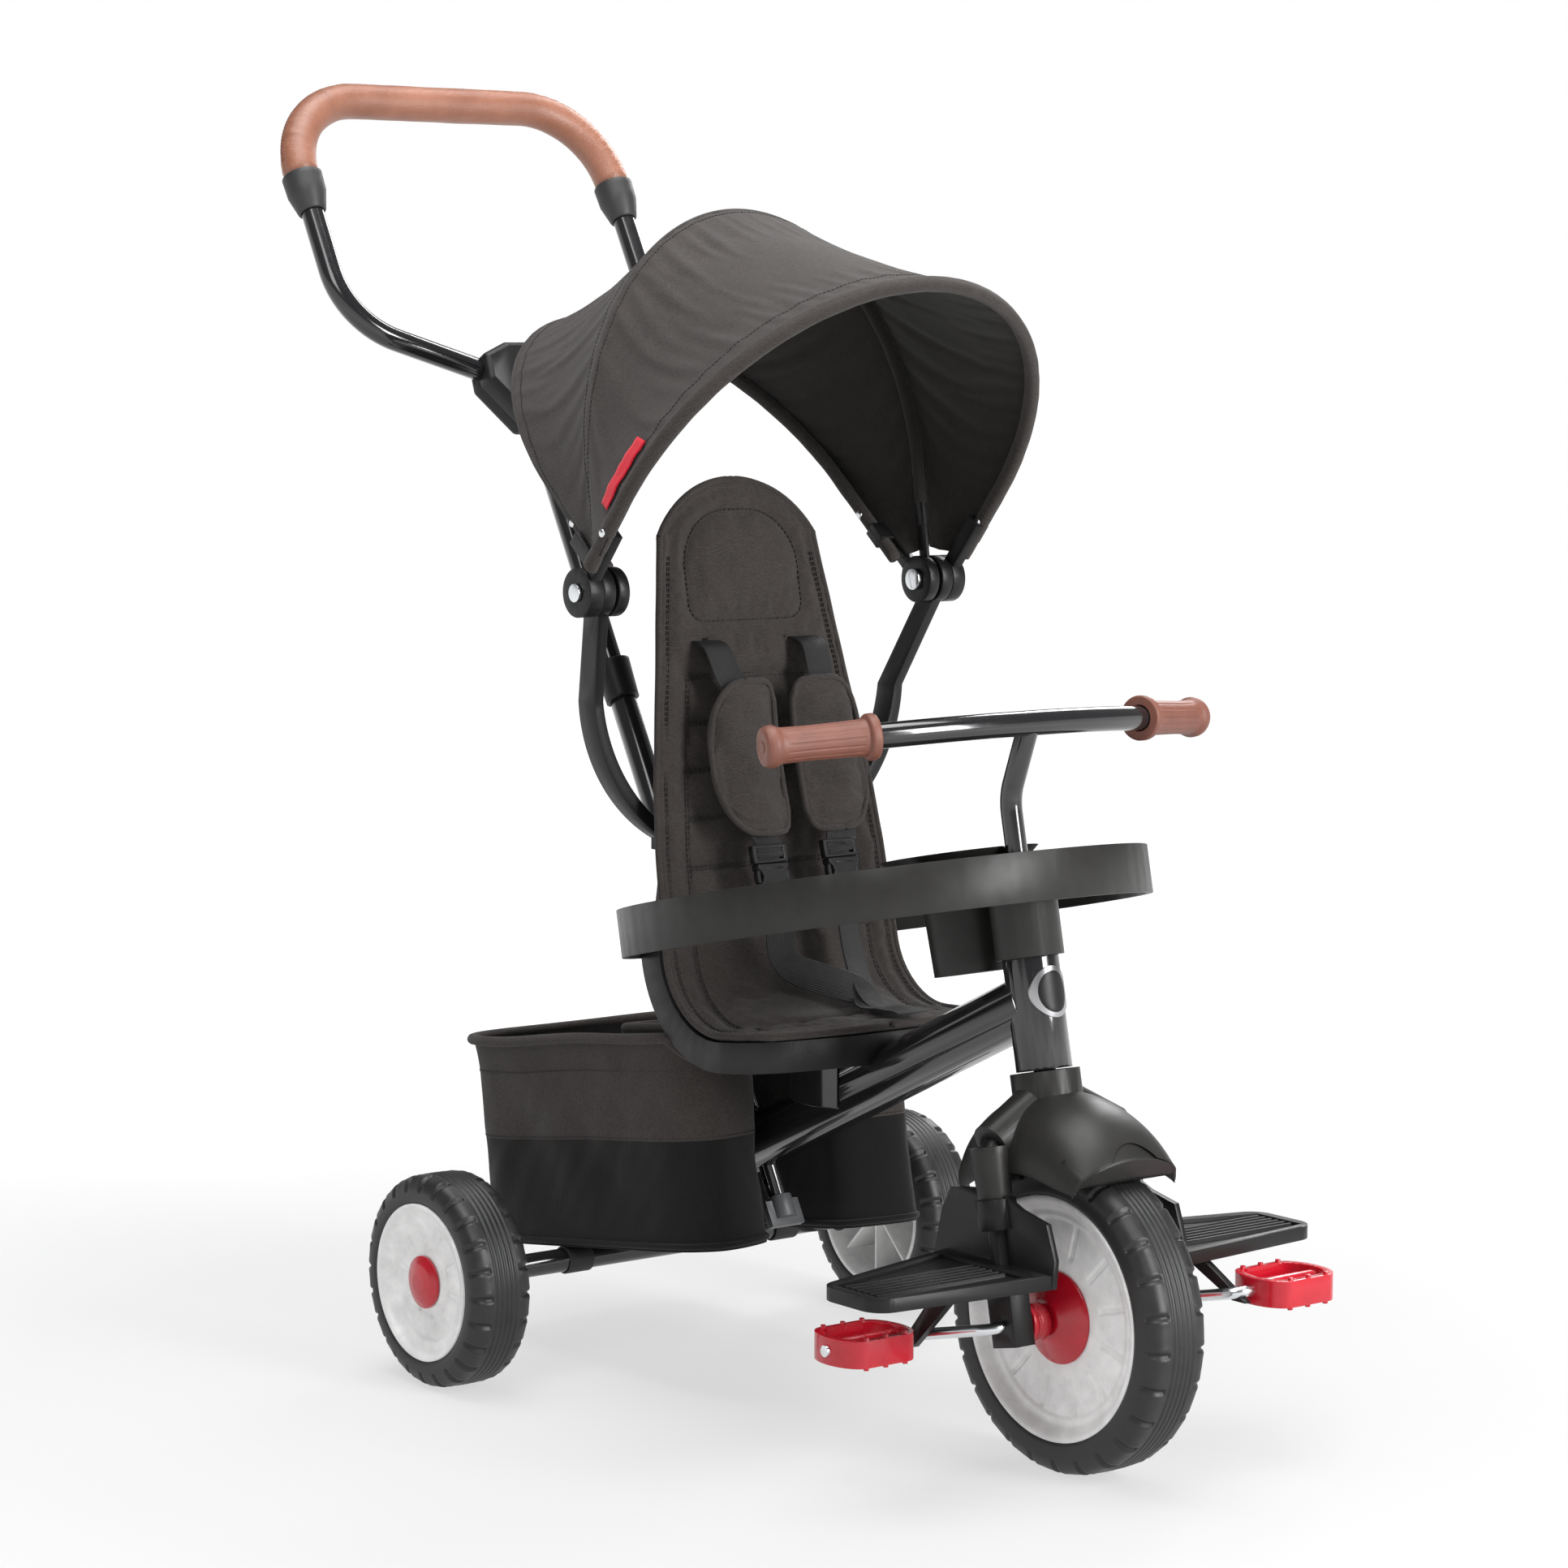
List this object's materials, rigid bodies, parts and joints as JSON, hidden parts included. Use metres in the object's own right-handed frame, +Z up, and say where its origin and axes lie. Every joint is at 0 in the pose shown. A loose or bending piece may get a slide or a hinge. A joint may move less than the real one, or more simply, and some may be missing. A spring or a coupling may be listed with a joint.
{
  "type": "children's tricycle",
  "caption": "Push-along children's tricycle with canopy, padded seat with harness, tray hoop with cup holder, storage bag, footrests and wrapped push handle",
  "frame": {"origin": "On the ground, under the middle of the whole tricycle's box", "axes": "+Z up, the front wheel points along -Y, X = 0 is the middle plane with the rider's left at +X"},
  "size_m": [0.512, 0.977, 1.0407],
  "materials": {
    "gloss_black_tube": "gloss black powder coat",
    "zinc_rod": "bright zinc plate",
    "black_plastic": "satin black moulding",
    "charcoal_plastic": "satin dark grey moulding",
    "pebbled_plastic": "black moulding with fine pebble grain",
    "knob_grey": "mid grey moulding",
    "white_plastic": "white moulding",
    "red_plastic": "glossy red moulding",
    "tyre_black": "satin black tyre",
    "grip_brown": "brown rubber",
    "tan_leather": "tan leather",
    "cuff_rubber": "dark rubber",
    "heather_fabric": "heather charcoal woven",
    "webbing": "black ribbed webbing",
    "badge_silver": "satin silver and black"
  },
  "bodies": {
    "frame": {"axle_bushes": "black_plastic", "bag_loops": "webbing", "buckle_left": "black_plastic", "buckle_right": "black_plastic", "canopy_arm_left": "black_plastic", "canopy_arm_right": "black_plastic", "canopy_pivot_bolts": "zinc_rod", "crotch_straps": "webbing", "head_badge": "badge_silver", "head_bushes": "black_plastic", "height_collar": "black_plastic", "main_frame": "gloss_black_tube", "push_pole_lower": "gloss_black_tube", "rear_axle_rod": "zinc_rod", "seat_bracket": "gloss_black_tube", "seat_liner": "heather_fabric", "seat_shell": "pebbled_plastic", "shoulder_pad_left": "heather_fabric", "shoulder_pad_right": "heather_fabric", "shoulder_straps": "webbing", "storage_bag": "heather_fabric", "strap_tails": "webbing", "tray_console": "charcoal_plastic", "tray_hoop": "charcoal_plastic", "waist_straps": "webbing"},
    "steering": {"steering_stem": "gloss_black_tube", "handlebar": "gloss_black_tube", "grip_left": "grip_brown", "grip_right": "grip_brown", "fork": "black_plastic", "front_fender": "charcoal_plastic", "pedal_crank": "zinc_rod", "footrest_left": "black_plastic", "footrest_right": "black_plastic"},
    "front_wheel": {"front_tyre": "tyre_black", "front_rim": "white_plastic", "front_hubs": "red_plastic"},
    "clutch": {"clutch_sleeve": "red_plastic"},
    "pedal_left_body": {"pedal_left": "red_plastic"},
    "pedal_right_body": {"pedal_right": "red_plastic"},
    "rear_wheel_left": {"rear_tyre_left": "tyre_black", "rear_rim_left": "white_plastic", "rear_hub_cap_left": "red_plastic"},
    "rear_wheel_right": {"rear_tyre_right": "tyre_black", "rear_rim_right": "white_plastic", "rear_hub_cap_right": "red_plastic"},
    "canopy_rear": {"canopy_rear_bow": "black_plastic", "canopy_rear_panel": "heather_fabric"},
    "canopy_middle": {"canopy_mid_bow": "black_plastic"},
    "canopy_front": {"canopy_front_bow": "black_plastic", "canopy_front_panel": "heather_fabric"},
    "push_handle": {"push_pole_upper": "gloss_black_tube", "handle_hub_front": "black_plastic", "handle_hub_rear": "black_plastic", "handle_loop": "gloss_black_tube", "handle_wrap": "tan_leather", "handle_cuffs": "cuff_rubber"},
    "height_button_body": {"height_button": "knob_grey"},
    "wing_knob_body": {"wing_knob": "knob_grey"}
  },
  "joints": [
    {"name": "steer", "type": "hinge", "parent": "frame", "child": "steering", "pos_m": [0, -0.3725, 0.116], "axis": [0, 0.2079, 0.9781], "range_deg": [-35, 35]},
    {"name": "front_wheel_spin", "type": "hinge", "parent": "steering", "child": "front_wheel", "pos_m": [0, -0.3725, 0.116], "axis": [1, 0, 0], "continuous": true},
    {"name": "clutch_slide", "type": "slide", "parent": "front_wheel", "child": "clutch", "axis": [1, 0, 0], "range_m": [0, 0.004]},
    {"name": "pedal_left_spin", "type": "hinge", "parent": "steering", "child": "pedal_left_body", "pos_m": [0.141, -0.4445, 0.132], "axis": [1, 0, 0], "continuous": true},
    {"name": "pedal_right_spin", "type": "hinge", "parent": "steering", "child": "pedal_right_body", "pos_m": [-0.141, -0.3005, 0.1], "axis": [1, 0, 0], "continuous": true},
    {"name": "rear_wheel_left_spin", "type": "hinge", "parent": "frame", "child": "rear_wheel_left", "pos_m": [0.227, 0.1175, 0.0845], "axis": [1, 0, 0], "continuous": true},
    {"name": "rear_wheel_right_spin", "type": "hinge", "parent": "frame", "child": "rear_wheel_right", "pos_m": [-0.227, 0.1175, 0.0845], "axis": [1, 0, 0], "continuous": true},
    {"name": "canopy_tilt", "type": "hinge", "parent": "frame", "child": "canopy_rear", "pos_m": [0, -0.002, 0.632], "axis": [1, 0, 0], "range_deg": [-10, 25]},
    {"name": "canopy_fold_middle", "type": "hinge", "parent": "canopy_rear", "child": "canopy_middle", "pos_m": [0, -0.002, 0.632], "axis": [-1, 0, 0], "range_deg": [0, 32], "deforming": ["canopy_rear_panel", "canopy_front_panel"]},
    {"name": "canopy_fold_front", "type": "hinge", "parent": "canopy_middle", "child": "canopy_front", "pos_m": [0, -0.002, 0.632], "axis": [-1, 0, 0], "range_deg": [0, 40], "deforming": ["canopy_front_panel"]},
    {"name": "handle_height", "type": "slide", "parent": "frame", "child": "push_handle", "axis": [0, 0.4848, 0.8746], "range_m": [-0.12, 0]},
    {"name": "height_button_press", "type": "slide", "parent": "frame", "child": "height_button_body", "axis": [0, -0.8746, 0.4848], "range_m": [0, 0.0024], "stiffness_N_per_m": 400},
    {"name": "wing_knob_turn", "type": "hinge", "parent": "frame", "child": "wing_knob_body", "pos_m": [0, -0.0176, 0.1398], "axis": [0, 0.4848, 0.8746], "continuous": true}
  ],
  "couplings": [
    {"joint": "canopy_fold_front", "follows": "canopy_fold_middle", "ratio": 1.25}
  ]
}
